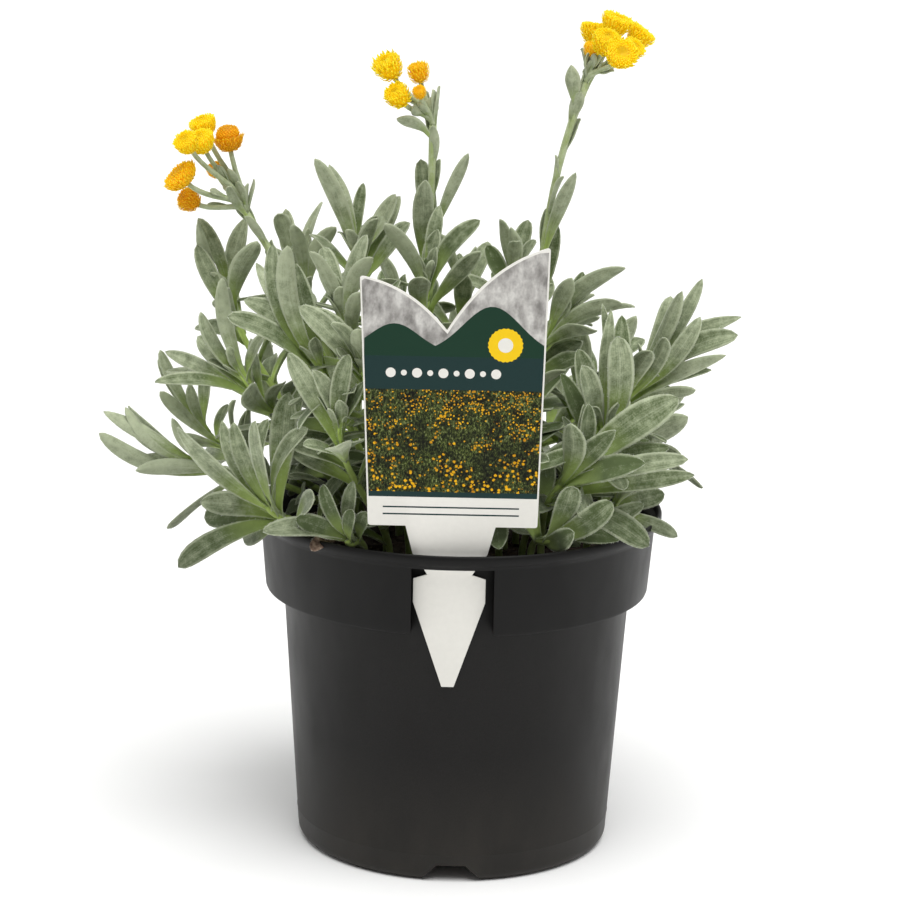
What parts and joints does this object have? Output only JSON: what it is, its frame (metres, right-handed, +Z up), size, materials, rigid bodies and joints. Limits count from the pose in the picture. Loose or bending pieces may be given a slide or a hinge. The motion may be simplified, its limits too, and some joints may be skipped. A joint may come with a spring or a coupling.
{
  "type": "potted chrysocephalum",
  "caption": "Felted grey-green perennial with yellow button flowers on branched stalks, growing in a black nursery pot with a plain card label in the rim's pocket.",
  "frame": {"origin": "centre of the pot's foot, on the face that rests on the ground", "axes": "+Z up through the pot and the plant; -Y is the front, where the card label stands; +X is to the right seen from the front"},
  "size_m": [0.2171, 0.1769, 0.2869],
  "materials": {
    "pot_plastic": "satin",
    "bark_mix": "matte",
    "label_card": "satin",
    "felted_leaf": "matte",
    "felted_stalk": "matte",
    "floret_yellow": "matte",
    "floret_orange": "matte"
  },
  "bodies": {
    "root": {"pot": "pot_plastic", "potting_mix": "bark_mix", "plant_label": "label_card", "flower_head_left_1": "floret_yellow", "flower_head_left_2": "floret_yellow", "flower_head_left_3": "floret_yellow", "flower_head_left_4": "floret_orange", "flower_head_left_5": "floret_orange", "flower_head_left_6": "floret_orange", "flower_head_left_7": "floret_orange", "flower_head_middle_1": "floret_yellow", "flower_head_middle_2": "floret_yellow", "flower_head_middle_3": "floret_orange", "flower_head_middle_4": "floret_orange", "flower_head_right_1": "floret_yellow", "flower_head_right_2": "floret_yellow", "flower_head_right_3": "floret_yellow", "flower_head_right_4": "floret_yellow", "flower_head_right_5": "floret_yellow", "flower_head_right_6": "floret_yellow", "flower_head_right_7": "floret_orange", "flower_stalk_left": "felted_stalk", "flower_stalk_middle": "felted_stalk", "flower_stalk_right": "felted_stalk", "leafy_shoot_01": "felted_leaf", "leafy_shoot_02": "felted_leaf", "leafy_shoot_03": "felted_leaf", "leafy_shoot_04": "felted_leaf", "leafy_shoot_05": "felted_leaf", "leafy_shoot_06": "felted_leaf", "leafy_shoot_07": "felted_leaf", "leafy_shoot_08": "felted_leaf", "leafy_shoot_09": "felted_leaf", "leafy_shoot_10": "felted_leaf", "leafy_shoot_11": "felted_leaf", "leafy_shoot_12": "felted_leaf", "leafy_shoot_13": "felted_leaf", "leafy_shoot_14": "felted_leaf", "leafy_shoot_15": "felted_leaf", "leafy_shoot_16": "felted_leaf", "leafy_shoot_17": "felted_leaf", "leafy_shoot_18": "felted_leaf", "leafy_shoot_19": "felted_leaf", "leafy_shoot_20": "felted_leaf", "leafy_shoot_21": "felted_leaf", "leafy_shoot_22": "felted_leaf", "leafy_shoot_23": "felted_leaf", "leafy_shoot_24": "felted_leaf", "leafy_shoot_25": "felted_leaf", "leafy_shoot_26": "felted_leaf", "leafy_shoot_27": "felted_leaf", "leafy_shoot_28": "felted_leaf", "leafy_shoot_29": "felted_leaf", "leafy_shoot_30": "felted_leaf", "leafy_shoot_31": "felted_leaf", "leafy_shoot_32": "felted_leaf", "leafy_shoot_33": "felted_leaf", "leafy_shoot_34": "felted_leaf"}
  },
  "joints": []
}
